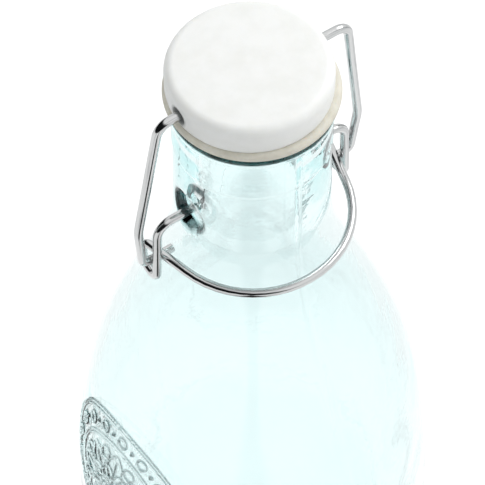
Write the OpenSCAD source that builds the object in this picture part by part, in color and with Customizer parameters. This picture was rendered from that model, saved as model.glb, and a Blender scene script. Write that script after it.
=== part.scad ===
// Swing top bottle: a moulded glass bottle whose white stopper and rubber gasket
// are pulled down by a hooked wire bail and an over-centre wire lever.
// Origin: centre of the base on the surface it stands on.
// X runs through the two pivot sockets of the neck, the thumb loop is at -Y, +Z is up.

/* [Bottle] */
// Height from the surface to the top of the lip
bottle_h = 296; // [250:1:340]
// Outer radius of the body
body_r = 43.2; // [38:0.1:50]
// Height at which the body starts to curve in to the shoulder
shoulder_z = 142; // [110:1:160]
// Pull of the body's end of the shoulder curve
shoulder_low_pull = 75; // [50:1:85]
// Pull of the neck's end of the shoulder curve
shoulder_high_pull = 35; // [20:1:45]
// Radius of the rounding where the body meets the base
heel_r = 7; // [4:0.5:10]
// Thickness of the body's wall
wall = 3.2; // [2:0.1:4]
// Thickness of the glass in the base
base_t = 6; // [4:0.5:9]
// Rise of the push-up under the base
punt_rise = 5; // [2:0.5:8]
// Width of the ring that the bottle stands on
foot_ring_w = 5; // [3:0.5:8]

/* [Neck] */
// Outer radius where the neck runs into the shoulder
neck_r = 16.8; // [16:0.1:18]
// Outer radius of the finish ring at the top of the neck
finish_r = 16.6; // [15.5:0.1:17.5]
// Height of the finish ring
finish_h = 13.5; // [9:0.5:18]
// Step in radius below the finish ring
finish_step = 0.3; // [0.1:0.05:0.8]
// Distance from the top of the lip down to the start of the shoulder
neck_h = 32; // [28:1:40]
// Radius of the bore through the neck
bore_r = 11.6; // [11:0.1:12]
// Rounding of the lip's edges
lip_round = 1.4; // [0.8:0.1:1.6]
// Radius of the bead round the lip
lip_bead_r = 17.3; // [17:0.1:17.8]
// Height of the bead round the lip
lip_bead_h = 2.6; // [2:0.1:3.5]

/* [Pivot sockets] */
// Distance from the top of the lip down to the pivot line
pivot_drop = 27.8; // [24:0.1:29]
// Radius of the moulded dimple where it opens on the neck
dimple_r = 5.8; // [5:0.1:6.2]
// Radius of the dimple's flat floor
dimple_floor_r = 3.9; // [3:0.1:4.5]
// Depth of the dimple
dimple_depth = 2.6; // [1.6:0.1:2.8]
// Depth of the pin's hole below the dimple
pin_hole_depth = 1.4; // [1:0.1:1.5]

/* [Mould marks] */
// Width of the mould seam
seam_w = 0.5; // [0.3:0.1:1]
// Height of the mould seam above the glass
seam_h = 0.2; // [0.1:0.05:0.5]

/* [Medallion] */
// Height of the medallion's centre
medallion_z = 178.4; // [160:0.1:185]
// Turn of the medallion from the left socket towards the thumb loop
medallion_turn = 3.7; // [0:0.1:15]
// Outer radius of the medallion
medallion_r = 21; // [18:0.5:26]
// Height of the medallion's band above the glass
band_relief = 0.4; // [0.2:0.1:0.8]
// Height of its middle field above the glass
field_relief = 1.1; // [0.4:0.1:1.5]
// Extra height of its rims, rings and petals
figure_relief = 0.7; // [0.4:0.1:1.2]
// Width of each rim
rim_w = 0.9; // [0.8:0.1:2]
// Width of the band between the rims
band_w = 5.2; // [4:0.2:8]
// Width of the raised lines of the rings and petals
line_w = 0.8; // [0.5:0.1:1]
// Number of rings in the band
ring_count = 16; // [12:1:20]
// Number of petals in each row of the rosette
petal_count = 8; // [5:1:10]

/* [Stopper] */
// Largest radius of the stopper's cap
cap_r = 17; // [16.5:0.1:18]
// Height of the cap above the gasket
cap_h = 7.2; // [6.5:0.1:9]
// Rounding of the cap's top edge
cap_round = 2.1; // [1:0.1:2.5]
// Height of the cap's slightly domed top
cap_dome = 0.35; // [0.1:0.05:0.8]
// Draw-in of the cap where it meets the gasket
cap_tuck = 0.5; // [0.2:0.1:1]
// Height of the cross hole above the gasket
hole_h = 2.8; // [2.8:0.1:3.8]
// Radius of the flared mouths of the cross hole
hole_flare_r = 2.5; // [2:0.1:2.7]
// Depth of the flared mouths
hole_flare_depth = 2.2; // [1:0.1:3]
// Radius of the stem that the gasket fits round
stem_r = 8; // [6:0.1:8.5]
// Radius of the bead that holds the gasket on
keeper_r = 9.6; // [9:0.1:10]
// Height of the bead
keeper_h = 3.2; // [2:0.1:4]
// Taper of the bead's lower edge that helps the gasket over it
keeper_taper = 1.2; // [0.5:0.1:1.5]
// Distance that the stopper sits off the bottle's axis along its cross hole
stopper_shift = 0.6; // [0:0.1:0.8]

/* [Gasket] */
// Thickness of the rubber gasket
gasket_t = 2.2; // [1.8:0.1:2.8]
// Outer radius of the gasket's bulging edge
gasket_r = 18; // [17.2:0.1:18.6]
// Clearance between gasket and stem
gasket_fit = 0.05; // [0.02:0.01:0.1]
// Gap between gasket and lip where the rubber would be squeezed
seat_gap = 0.3; // [0.3:0.05:0.5]

/* [Wire] */
// Diameter of the wire
wire_d = 2; // [1.6:0.1:2.2]
// Radial clearance of the wire in its holes
pivot_fit = 0.08; // [0.02:0.01:0.1]
// Gap kept between wires that pass each other
wire_gap = 0.35; // [0.3:0.05:0.6]

/* [Lever] */
// Radius of the thumb loop round the neck
loop_r = 21.3; // [20.5:0.1:24]
// Angle at which the loop's ends toe out to the eyes
loop_toe = 15; // [10:1:18]
// Drop of the thumb loop from its ends to its front
loop_dip = 1; // [0:0.1:3]
// Distance from the pivot line down to the top of the eye
eye_top_drop = 11.7; // [11:0.1:14]
// Height of the eye between wire centres
eye_h = 6.9; // [6.5:0.1:9]
// Depth of the eye between wire centres
eye_w = 6.2; // [5.8:0.1:6.8]
// Radius of the bends of the eye
eye_bend_r = 2.6; // [2:0.1:2.8]
// Half the distance between the lever's upper corners
lever_half_w = 23.7; // [23:0.1:25]
// Radius of the bend from pin to leg
lever_bend_r = 3.6; // [2.5:0.1:4.5]

/* [Bail] */
// Half the distance between the bail's upper corners
bail_half_w = 22.7; // [21:0.1:24]
// Half the distance between the bail's arms at their kink
bail_kink_half_w = 27.9; // [27.5:0.1:30]
// Height of the kink above the pivot line
bail_kink_h = -0.8; // [-4:0.1:4]
// Distance of the kink behind the pivot line
bail_kink_back = 1.6; // [0:0.1:2.4]
// Radius of the bends at the top of the bail
bail_bend_r = 3.4; // [2.5:0.1:4]
// Radius of the kink
bail_kink_r = 14; // [6:1:16]
// Half the distance between the bail's lower corners
bail_foot_half_w = 26.9; // [26.8:0.1:28]
// Radius of the hook at the foot of each arm
hook_bend_r = 2.2; // [1.5:0.1:2.5]
// Distance of the hook's end from the bottle's axis
hook_end_x = 19.3; // [19:0.1:20.5]
// Distance that the bail sits off the bottle's axis, towards the right socket
bail_shift = 0.5; // [0:0.1:0.5]

/* [Hidden] */
$fn = 96;

curve_steps = 22;               // steps along the shoulder curve
arc_steps = 6;                  // steps along a quarter round
swell_steps = 3;                // steps across a domed face
overlap = 1;                    // how far a cutter runs past a face
weld_len = 0.2;                 // sleeve that joins a straight to a bend
weld_d = wire_d + 0.02;
near_gap = 0.1;                 // least space added where pieces pass each other
field_root = 1.2;               // how deep the medallion's band starts in the glass
figure_root = 0.8;              // how deep its middle field and its rings start
line_root = 0.6;                // how deep the lines of its middle start
petal_start = 0.2;              // inner end of a petal, as a part of its tip's radius
petal_slim = 0.19;              // half width of a petal, as a part of its tip's radius
outer_row = 0.9;                // tips of the outer petals, as a part of the field's radius
inner_row = 0.6;                // tips of the inner petals
eye_row = 0.15;                 // ring in the middle of the rosette

// Heights on the neck, counted from the surface
neck_start_z = bottle_h - neck_h;
finish_start_z = bottle_h - finish_h;
pivot_z = bottle_h - pivot_drop;

// Heights of the stopper
gasket_z = bottle_h + seat_gap;
cap_z = gasket_z + gasket_t;
crossbar_z = cap_z + hole_h;

// Eye and hook of the wires, measured from the pivot line
stub_back = wire_d + wire_gap + near_gap / 2;
stub_drop = eye_top_drop + wire_d + wire_gap + loop_dip * (eye_w - stub_back) / (loop_r + eye_w);
eye_bottom_drop = eye_top_drop + eye_h;
eye_top_x = loop_r / cos(loop_toe) + eye_w * tan(loop_toe);
leg_foot_x = loop_r / cos(loop_toe) + wire_d + wire_gap + near_gap;
loop_corner_x = loop_r * tan((90 - loop_toe) / 2);
pin_end_x = neck_r - dimple_depth - pin_hole_depth + 2 * near_gap;
chain_r = medallion_r - rim_w - band_w / 2;
chain_ring_r = band_w / 2 - line_w;
field_r = medallion_r - 2 * rim_w - band_w;

// ---------- curves ----------

// Point at t on the cubic curve through four control points
function bezier(p, t) =
    pow(1 - t, 3) * p[0] + 3 * pow(1 - t, 2) * t * p[1] + 3 * (1 - t) * t * t * p[2] + pow(t, 3) * p[3];

// Shoulder curve from the body at radius low_r to the neck at radius high_r
function shoulder(low_r, high_r) = [
    for (i = [0:curve_steps])
        bezier([[low_r, shoulder_z], [low_r, shoulder_z + shoulder_low_pull],
                [high_r, neck_start_z - shoulder_high_pull], [high_r, neck_start_z]], i / curve_steps)
];

// Arc of a circle in the section, from angle a to angle b
function arc(centre, r, a, b) = [
    for (i = [0:arc_steps])
        let (t = a + (b - a) * i / arc_steps) centre + r * [cos(t), sin(t)]
];

// Point i of a domed face that rises from height z at radius r by rise in the middle
function swell(r, z, rise, i) = [r * i / swell_steps, z + rise * (1 - pow(i / swell_steps, 2))];

// Outline of the glass from the foot ring up to the top of the lip
function outer_line() = concat(
    arc([body_r - heel_r, heel_r], heel_r, -90, 0),
    shoulder(body_r, neck_r),
    [[finish_r - finish_step, finish_start_z - 2 * finish_step],
     [finish_r - finish_step, finish_start_z],
     [finish_r, finish_start_z + finish_step],
     [finish_r, bottle_h - lip_bead_h - finish_step],
     [lip_bead_r, bottle_h - lip_bead_h + finish_step]],
    arc([lip_bead_r - lip_round, bottle_h - lip_round], lip_round, 0, 90)
);

// Outline of the hollow from the lip down to the middle of the floor
function inner_line() =
    let (up = shoulder(body_r - wall, bore_r), n = len(up) - 1, r = body_r - wall - heel_r)
    concat(
        arc([bore_r + lip_round, bottle_h - lip_round], lip_round, 90, 180),
        [for (i = [0:n]) up[n - i]],
        [for (i = [0:arc_steps - 1])
            let (t = -90 * i / arc_steps) [r, base_t + heel_r] + heel_r * [cos(t), sin(t)]],
        [for (i = [swell_steps:-1:0]) swell(r, base_t, punt_rise, i)]
    );

// Underside: push-up inside the foot ring
function punt_line() =
    [for (i = [0:swell_steps]) swell(body_r - heel_r - foot_ring_w, 0, punt_rise, i)];

// ---------- wire ----------

function unit(v) = v / norm(v);

// Frame with its Z along z and its X along x, at point p
module frame_at(p, x, z) {
    y = cross(z, x);
    multmatrix([
        [x[0], y[0], z[0], p[0]],
        [x[1], y[1], z[1], p[1]],
        [x[2], y[2], z[2], p[2]],
        [0, 0, 0, 1]
    ]) children();
}

// A unit vector at right angles to v
function beside(v) = unit(cross(v, abs(v[2]) < 0.9 ? [0, 0, 1] : [1, 0, 0]));

// How far the bend at corner i reaches along its two straights
function reach(pts, radii, i) =
    (i == 0 || i == len(pts) - 1) ? 0 :
    let (u = unit(pts[i] - pts[i - 1]), v = unit(pts[i + 1] - pts[i]))
    radii[i] * tan(acos(u * v) / 2);

// Round wire through the corner points, each corner bent to its radius
module wire(pts, radii) {
    for (i = [0:len(pts) - 2]) {
        u = unit(pts[i + 1] - pts[i]);
        a = pts[i] + u * reach(pts, radii, i);
        b = pts[i + 1] - u * reach(pts, radii, i + 1);
        frame_at(a, beside(u), u) cylinder(h = norm(b - a), d = wire_d);
    }
    for (i = [1:len(pts) - 2]) bend(pts, radii, i);
}

// One bend of the wire, with the sleeves that join it to its straights
module bend(pts, radii, i) {
    u = unit(pts[i] - pts[i - 1]);
    v = unit(pts[i + 1] - pts[i]);
    turn = acos(u * v);
    start = pts[i] - u * reach(pts, radii, i);
    end = pts[i] + v * reach(pts, radii, i);
    centre = pts[i] + unit(v - u) * radii[i] / cos(turn / 2);
    frame_at(centre, unit(start - centre), unit(cross(u, v)))
        rotate_extrude(angle = turn) translate([radii[i], 0]) circle(d = wire_d);
    frame_at(start, beside(u), u) cylinder(h = weld_len, d = weld_d, center = true);
    frame_at(end, beside(v), v) cylinder(h = weld_len, d = weld_d, center = true);
}

// ---------- pieces ----------

// One glass moulding: body, shoulder, neck, sockets, seams and medallion
module glass_bottle() {
    color("#d8f3f3") {
        difference() {
            union() {
                rotate_extrude() polygon(concat(punt_line(), outer_line(), inner_line()));
                mould_seam();
                rotate([0, 0, 180]) mould_seam();
                medallion();
            }
            socket_cut();
            mirror([1, 0, 0]) socket_cut();
        }
    }
}

// Raised line left by the mould, from above the heel to below the lip's bead
module mould_seam() {
    line = [for (p = outer_line()) if (p[1] >= heel_r && p[1] < bottle_h - lip_bead_h) p];
    n = len(line) - 1;
    rotate([90, 0, -90]) linear_extrude(height = seam_w, center = true)
        polygon(concat([for (p = line) p + [seam_h, 0]], [for (i = [0:n]) line[n - i] - [1, 0]]));
}

// Dimple and blind hole for the lever's pin, on the +X side
module socket_cut() {
    pin_r = wire_d / 2 + pivot_fit;
    floor_x = neck_r - dimple_depth;
    flare = (dimple_r - dimple_floor_r) / dimple_depth;
    translate([0, 0, pivot_z]) rotate([0, 90, 0]) rotate_extrude() polygon([
        [0, floor_x - pin_hole_depth],
        [pin_r, floor_x - pin_hole_depth],
        [pin_r, floor_x],
        [dimple_floor_r, floor_x],
        [dimple_r + flare * overlap, neck_r + overlap],
        [0, neck_r + overlap]
    ]);
}

// Skin over the glass from depth below it to height above, cut to a flat outline that faces -X
module relief(depth, height) {
    line = [for (p = outer_line()) if (p[1] >= heel_r && p[1] < neck_start_z) p];
    n = len(line) - 1;
    intersection() {
        rotate_extrude()
            polygon(concat([for (p = line) p + [height, 0]], [for (i = [0:n]) line[n - i] - [depth, 0]]));
        translate([0, 0, medallion_z]) rotate([0, -90, medallion_turn])
            linear_extrude(height = body_r + 10) children();
    }
}

// Flat ring with the outer radius r and the width w
module ring(r, w) {
    difference() {
        circle(r = r);
        circle(r = r - w);
    }
}

// Lens shape along +X round the point middle, made narrower by inset all round
module leaf(middle, half_l, half_w, inset) {
    side_r = (half_l * half_l + half_w * half_w) / (2 * half_w);
    intersection() {
        translate([middle, side_r - half_w]) circle(r = side_r - inset);
        translate([middle, half_w - side_r]) circle(r = side_r - inset);
    }
}

// Row of petals drawn as raised lines, with their tips at radius tip
module petals(tip, turn) {
    middle = tip * (1 + petal_start) / 2;
    half_l = tip * (1 - petal_start) / 2;
    for (i = [0:petal_count - 1]) rotate((i + turn) * 360 / petal_count) difference() {
        leaf(middle, half_l, tip * petal_slim, 0);
        leaf(middle, half_l, tip * petal_slim, line_w);
    }
}

// Round relief with two rims, a chain of rings and a rosette of two rows
module medallion() {
    relief(field_root, band_relief) circle(r = medallion_r - rim_w / 2);
    relief(figure_root, field_relief) circle(r = field_r + rim_w / 2);
    relief(figure_root, band_relief + figure_relief) {
        ring(medallion_r, rim_w);
        for (i = [0:ring_count - 1])
            rotate(i * 360 / ring_count) translate([chain_r, 0]) ring(chain_ring_r, line_w);
    }
    relief(line_root, field_relief + figure_relief) {
        ring(field_r + rim_w, rim_w);
        petals(field_r * outer_row, 0);
        petals(field_r * inner_row, 0.5);
        ring(field_r * eye_row, line_w);
    }
}

// White stopper: cap with a cross hole for the wire, stem and keeper bead
module stopper() {
    color("#f4f6f3") {
        translate([-stopper_shift, 0, cap_z]) difference() {
            rotate_extrude() polygon(concat(
                [[0, -gasket_t - keeper_h], [keeper_r - keeper_taper, -gasket_t - keeper_h],
                 [keeper_r, keeper_taper - gasket_t - keeper_h], [keeper_r, -gasket_t],
                 [stem_r, -gasket_t], [stem_r, 0], [cap_r - cap_tuck, 0],
                 [cap_r, cap_tuck * 3]],
                arc([cap_r - cap_round, cap_h - cap_round], cap_round, 0, 90),
                [for (i = [swell_steps - 1:-1:0]) swell(cap_r - cap_round, cap_h, cap_dome, i)]
            ));
            translate([0, 0, hole_h]) rotate([0, 90, 0])
                cylinder(h = 2 * (cap_r + overlap), r = wire_d / 2 + pivot_fit, center = true);
            for (side = [-1, 1]) hole_mouth(side);
        }
    }
}

// Flared mouth of the cross hole
module hole_mouth(side) {
    small_r = wire_d / 2 + pivot_fit;
    grow = (hole_flare_r - small_r) / hole_flare_depth;
    translate([side * (cap_r - hole_flare_depth), 0, hole_h]) rotate([0, side * 90, 0])
        cylinder(h = hole_flare_depth + overlap, r1 = small_r, r2 = hole_flare_r + grow * overlap);
}

// Rubber gasket with a bulging edge, round the stem but centred on the lip
module gasket() {
    edge_r = gasket_t / 2;
    color("#d8d0bf") translate([0, 0, gasket_z]) difference() {
        rotate_extrude() {
            square([gasket_r - edge_r, gasket_t]);
            translate([gasket_r - edge_r, edge_r]) circle(r = edge_r);
        }
        translate([-stopper_shift, 0, -overlap])
            cylinder(h = gasket_t + 2 * overlap, r = stem_r + gasket_fit);
    }
}

// Upper wire: crossbar through the stopper, two arms, and hooks through the lever's eyes
module bail_wire() {
    bar_h = crossbar_z - pivot_z;
    half = [
        [0, 0, bar_h],
        [bail_half_w, 0, bar_h],
        [bail_kink_half_w, bail_kink_back, bail_kink_h],
        [bail_foot_half_w, stub_back, -stub_drop],
        [hook_end_x, stub_back, -stub_drop]
    ];
    other = [for (i = [len(half) - 1:-1:1]) [-half[i][0], half[i][1], half[i][2]]];
    radii = [0, hook_bend_r, bail_kink_r, bail_bend_r, bail_bend_r, bail_kink_r, hook_bend_r, 0];
    color("#b9bdc1") translate([bail_shift, 0, pivot_z])
        wire(concat(other, [for (i = [1:len(half) - 1]) half[i]]), radii);
}

// Lower wire: pins in the neck's sockets, legs, eyes and thumb loop
module lever_wire() {
    half = [
        [loop_corner_x, -loop_r, -eye_top_drop - loop_dip],
        [eye_top_x, eye_w, -eye_top_drop],
        [(eye_top_x + leg_foot_x) / 2, eye_w, -eye_bottom_drop],
        [leg_foot_x, 0, -eye_bottom_drop],
        [lever_half_w, 0, 0],
        [pin_end_x, 0, 0]
    ];
    other = [for (i = [len(half) - 1:-1:0]) [-half[i][0], half[i][1], half[i][2]]];
    toe_turn = acos(unit(half[1] - half[0]) * [1, 0, 0]);
    front_bend_r = (loop_corner_x - weld_len) / tan(toe_turn / 2);
    radii = [0, lever_bend_r, eye_bend_r, eye_bend_r, eye_bend_r, front_bend_r,
             front_bend_r, eye_bend_r, eye_bend_r, eye_bend_r, lever_bend_r, 0];
    color("#b9bdc1") translate([0, 0, pivot_z]) wire(concat(other, half), radii);
}

glass_bottle();
stopper();
gasket();
bail_wire();
lever_wire();
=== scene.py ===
"""Looks of the swing top bottle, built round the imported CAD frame.

Everything is in metres.  The origin is the centre of the base, X runs through the
neck's two pivot sockets, the thumb loop is at -Y and +Z is up.
"""

from __future__ import annotations

import logging
import math
from collections.abc import Callable, Iterable
from dataclasses import dataclass, field
from enum import Enum

import bpy
from mathutils import Matrix, Vector, kdtree, noise


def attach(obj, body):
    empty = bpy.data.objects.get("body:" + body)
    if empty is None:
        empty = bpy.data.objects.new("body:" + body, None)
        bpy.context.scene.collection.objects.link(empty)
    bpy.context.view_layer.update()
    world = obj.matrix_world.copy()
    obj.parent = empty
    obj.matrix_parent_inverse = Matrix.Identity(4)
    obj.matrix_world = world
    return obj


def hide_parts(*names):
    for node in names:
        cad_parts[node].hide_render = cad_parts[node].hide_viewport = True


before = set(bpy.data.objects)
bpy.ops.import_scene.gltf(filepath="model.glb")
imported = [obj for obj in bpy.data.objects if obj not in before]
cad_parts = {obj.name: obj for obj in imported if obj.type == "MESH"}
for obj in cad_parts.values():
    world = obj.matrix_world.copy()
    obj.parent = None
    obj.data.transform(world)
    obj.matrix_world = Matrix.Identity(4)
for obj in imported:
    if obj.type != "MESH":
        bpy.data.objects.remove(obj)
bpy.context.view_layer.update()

MM = 0.001
MERGE = 0.001 * MM  # points nearer than this are one
LOG = logging.getLogger("swing_top_bottle")
# Attribute with the share of painted shade on the glass: the sockets' walls and the
# relief's steep flanks.
STRAIGHT = "straightened"  # attribute: where a wire's point lies if pulled straight
PAINTED_SHADE_MASK = "painted_shade"  # attribute: how steep the glass skin is, from 0 to 1
WHITE = "#ffffff"

Profile = list[tuple[float, float]]
Span = tuple[float, float]
Way = tuple[float, float, float]
Stops = tuple[tuple[float, str], ...]
Tree = bpy.types.NodeTree
Source = bpy.types.Node | bpy.types.NodeSocket


class Body(Enum):
    """Bodies of the CAD frame that a piece can ride on."""

    BOTTLE = "bottle"
    LEVER = "lever"
    BAIL = "bail"
    STOPPER = "stopper"


# ---------------------------------------------------------------- materials


def linear(hex_colour: str) -> tuple[float, float, float, float]:
    """Turn an sRGB hex colour into the linear values that a shader reads.

    Args:
        hex_colour: Six hex digits after a #.

    Returns:
        Linear red, green and blue, and an alpha of 1.
    """
    parts = [int(hex_colour[i : i + 2], 16) / 255 for i in (1, 3, 5)]
    red, green, blue = (
        c / 12.92 if c <= 0.04045 else ((c + 0.055) / 1.055) ** 2.4 for c in parts
    )
    return red, green, blue, 1.0


def add(
    tree: Tree,
    kind: str,
    inputs: dict[str | int, object] | None = None,
    stops: Stops = (),
    **settings: object,
) -> bpy.types.Node:
    """Add a node with its settings, and set or link its inputs.

    Args:
        tree: Node tree that the node goes into.
        kind: Name of the node type after ShaderNode.
        inputs: For each input, by name or number, its value, a socket to link from,
            or a node whose first output in use is linked.
        stops: Place and sRGB hex colour of each stop of a colour ramp, lowest first.
        settings: Properties of the node.

    Returns:
        The new node.
    """
    node = tree.nodes.new("ShaderNode" + kind)
    for key, value in settings.items():
        setattr(node, key, value)
    for key, value in (inputs or {}).items():
        if isinstance(value, bpy.types.Node):
            value = next(out for out in value.outputs if out.enabled)
        if isinstance(value, bpy.types.NodeSocket):
            tree.links.new(value, node.inputs[key])
        else:
            node.inputs[key].default_value = value
    if stops:
        marks = node.color_ramp.elements
        while len(marks) < len(stops):
            marks.new(0.5)
        for mark, (spot, colour) in zip(marks, stops):
            mark.position = spot
            mark.color = linear(colour)
    return node


def waves(place: Source, size_mm: float, detail: float) -> dict[str, object]:
    """Inputs of a noise whose features have a real size, given in millimetres."""
    return {"Vector": place, "Scale": 1 / (size_mm * MM), "Detail": detail}


def within(value: Source, span: Span) -> dict[str, object]:
    """Inputs that take a length from 0 to 1 through a span, given in millimetres."""
    return {"Value": value, "From Min": span[0] * MM, "From Max": span[1] * MM}


def bumps(height: Source, depth_mm: float, strength: float) -> dict[str, object]:
    """Inputs of a bump whose depth has a real size, given in millimetres."""
    return {"Height": height, "Distance": depth_mm * MM, "Strength": strength}


def off_axis(tree: Tree, place: Source, shares: Way) -> bpy.types.Node:
    """Tell how far a point lies from an axis.

    Args:
        tree: Node tree to add to.
        place: The point, seen from a point of the axis.
        shares: 0 for the coordinate along the axis, 1 for the others.

    Returns:
        Node with the distance.
    """
    flat = add(tree, "VectorMath", {0: place, 1: shares}, operation="MULTIPLY")
    return add(tree, "VectorMath", {0: flat}, operation="LENGTH")


def blank(name: str) -> tuple[bpy.types.Material, Tree]:
    """Make a material with an empty node tree."""
    made = bpy.data.materials.new(name)
    made.use_nodes = True
    made.node_tree.nodes.clear()
    return made, made.node_tree


@dataclass(frozen=True)
class RecycledGlass:
    """Recycled soda-lime glass, blown in a mould: clear, with a pale aqua tint.

    The tint is shared by the skin and the inside, so edges and thick places go teal
    while the thin wall stays almost white.  The blown skin is fire-polished, with slow
    waves and fine orange-peel that bend what is seen through it.  Painted shade
    darkens the glass colour on the steep walls of the sockets and the steep flanks of
    the relief, standing in for the dark room that they reflect and refract, and on the
    outer rim of the lip, standing in for the shade under the gasket.
    """

    name: str = "blown_recycled_glass"
    tint: str = "#62f0f2"
    density: float = 4.5
    ior: float = 1.52
    wave_mm: float = 26.0
    wave_depth_mm: float = 0.9
    peel_mm: float = 3.4
    peel_depth_mm: float = 0.06
    # Painted shade on the sockets' walls and the relief's steep flanks, standing in for the
    # dark room that they reflect and refract.
    skin_tint: str = "#f5fdfd"
    # Painted shade on the outer rim of the lip just under the gasket, standing in for the
    # shade under the rubber.
    flank_painted_shade: str = "#0d1a1b"
    seal_painted_shade: str = "#061413"
    seal_shade_z: Span = (294.5, 294.8)
    seal_shade_r: Span = (15.9, 16.4)

    def make(self) -> bpy.types.Material:
        """Build the material."""
        made, tree = blank(self.name)
        place = add(tree, "TexCoord").outputs["Object"]
        swell = add(tree, "TexNoise", waves(place, self.wave_mm, 1.5))
        peel = add(tree, "TexNoise", waves(place, self.peel_mm, 2.0))
        slow = add(tree, "Bump", bumps(swell, self.wave_depth_mm, 0.5))
        fine = bumps(peel, self.peel_depth_mm, 0.5) | {"Normal": slow}
        # Painted shade on the lip's outer rim, low under the gasket.
        rim = within(off_axis(tree, place, (1.0, 1.0, 0.0)), self.seal_shade_r)
        seal_shaded = within(add(tree, "SeparateXYZ", {0: place}).outputs["Z"], self.seal_shade_z)
        seal_shaded["To Max"] = add(tree, "MapRange", rim)
        # Painted shade: the glass colour goes dark where the bottle stored steep socket
        # walls and relief flanks.
        flank_shade_mask = add(tree, "Attribute", attribute_name=PAINTED_SHADE_MASK, attribute_type="GEOMETRY")
        shades = (0.0, self.skin_tint), (1.0, self.flank_painted_shade)
        skin = {
            "Factor": add(tree, "MapRange", seal_shaded),
            "A": add(tree, "ValToRGB", {"Fac": flank_shade_mask.outputs["Fac"]}, shades),
            "B": linear(self.seal_painted_shade),
        }
        glass = {
            "Base Color": add(tree, "Mix", skin, data_type="RGBA"),
            "Roughness": 0.0,
            "IOR": self.ior,
            "Transmission Weight": 1.0,
            "Normal": add(tree, "Bump", fine),
        }
        inside = {"Color": linear(self.tint), "Density": self.density}
        both = {
            "Surface": add(tree, "BsdfPrincipled", glass),
            "Volume": add(tree, "VolumeAbsorption", inside),
        }
        add(tree, "OutputMaterial", both)
        return made


@dataclass(frozen=True)
class MouldedPolyamide:
    """White polyamide, injection moulded: satin, slightly milky, faintly mottled.

    The wall and flared mouths of the cross hole are painted grey, as shade in the recess.
    """

    name: str = "moulded_white_polyamide"
    pale: str = "#f4f5f3"
    dull: str = "#eff0ed"
    # Painted shade in the cross hole's wall and flared mouths.
    hole_painted_shade: str = "#8d908f"
    hole_z: float = 301.3
    hole_shade_reach: Span = (1.7, 2.7)
    mottle_mm: float = 5.0
    grain_mm: float = 0.5
    grain_depth_mm: float = 0.03
    roughness: Span = (0.34, 0.5)
    ior: float = 1.53
    milk: float = 0.25
    milk_rgb: Way = (1.0, 0.95, 0.85)
    milk_mm: float = 1.2

    def make(self) -> bpy.types.Material:
        """Build the material."""
        made, tree = blank(self.name)
        place = add(tree, "TexCoord").outputs["Object"]
        patches = waves(place, self.mottle_mm, 5.0) | {"Roughness": 0.6}
        mottle = add(tree, "TexNoise", patches)
        grain = add(tree, "TexNoise", waves(place, self.grain_mm, 2.0))
        # Painted shade: grey near the cross hole's axis.
        centre = {0: place, 1: (0.0, 0.0, self.hole_z * MM)}
        from_hole = add(tree, "VectorMath", centre, operation="SUBTRACT")
        far = within(off_axis(tree, from_hole, (0.0, 1.0, 1.0)), self.hole_shade_reach)
        shades = (0.36, self.dull), (0.62, self.pale)
        skin = {
            "Factor": add(tree, "MapRange", far),
            "A": linear(self.hole_painted_shade),
            "B": add(tree, "ValToRGB", {"Fac": mottle}, shades),
        }
        low, high = self.roughness
        rough = {"Value": mottle, "To Min": low, "To Max": high}
        plastic = {
            "Base Color": add(tree, "Mix", skin, data_type="RGBA"),
            "Roughness": add(tree, "MapRange", rough),
            "IOR": self.ior,
            "Subsurface Weight": self.milk,
            "Subsurface Radius": self.milk_rgb,
            "Subsurface Scale": self.milk_mm * MM,
            "Normal": add(tree, "Bump", bumps(grain, self.grain_depth_mm, 0.35)),
        }
        add(tree, "OutputMaterial", {"Surface": add(tree, "BsdfPrincipled", plastic)})
        return made


@dataclass(frozen=True)
class NaturalRubber:
    """Cream natural rubber, compression moulded: matt, with faint dusty mottling.

    Its lower outer edge, where it sits on the rim of the lip, is darkened with painted
    shade for the shadow under the ring.
    """

    name: str = "cream_natural_rubber"
    pale: str = "#e1ded2"
    dark: str = "#d3cfc1"
    # Painted shade on the lower outer edge, where the ring sits on the lip.
    contact_painted_shade: str = "#252b29"
    contact_shade_z: Span = (296.8, 297.0)
    contact_shade_r: Span = (15.6, 16.2)
    mottle_mm: float = 2.5
    grit_mm: float = 0.35
    grit_depth_mm: float = 0.05
    roughness: float = 0.62
    ior: float = 1.52
    milk: float = 0.2
    milk_rgb: Way = (1.0, 0.8, 0.55)
    milk_mm: float = 0.8

    def make(self) -> bpy.types.Material:
        """Build the material."""
        made, tree = blank(self.name)
        place = add(tree, "TexCoord").outputs["Object"]
        mottle = add(tree, "TexNoise", waves(place, self.mottle_mm, 4.0))
        grit = add(tree, "TexNoise", waves(place, self.grit_mm, 2.0))
        # Painted shade: the lower outer edge goes dark.
        rim = within(off_axis(tree, place, (1.0, 1.0, 0.0)), self.contact_shade_r)
        inside = {0: 1.0, 1: add(tree, "MapRange", rim)}
        unshaded = within(add(tree, "SeparateXYZ", {0: place}).outputs["Z"], self.contact_shade_z)
        unshaded["To Min"] = add(tree, "Math", inside, operation="SUBTRACT")
        shades = (0.3, self.dark), (0.65, self.pale)
        skin = {
            "Factor": add(tree, "MapRange", unshaded),
            "A": linear(self.contact_painted_shade),
            "B": add(tree, "ValToRGB", {"Fac": mottle}, shades),
        }
        rubber = {
            "Base Color": add(tree, "Mix", skin, data_type="RGBA"),
            "Roughness": self.roughness,
            "IOR": self.ior,
            "Subsurface Weight": self.milk,
            "Subsurface Radius": self.milk_rgb,
            "Subsurface Scale": self.milk_mm * MM,
            "Normal": add(tree, "Bump", bumps(grit, self.grit_depth_mm, 0.5)),
        }
        add(tree, "OutputMaterial", {"Surface": add(tree, "BsdfPrincipled", rubber)})
        return made


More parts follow.
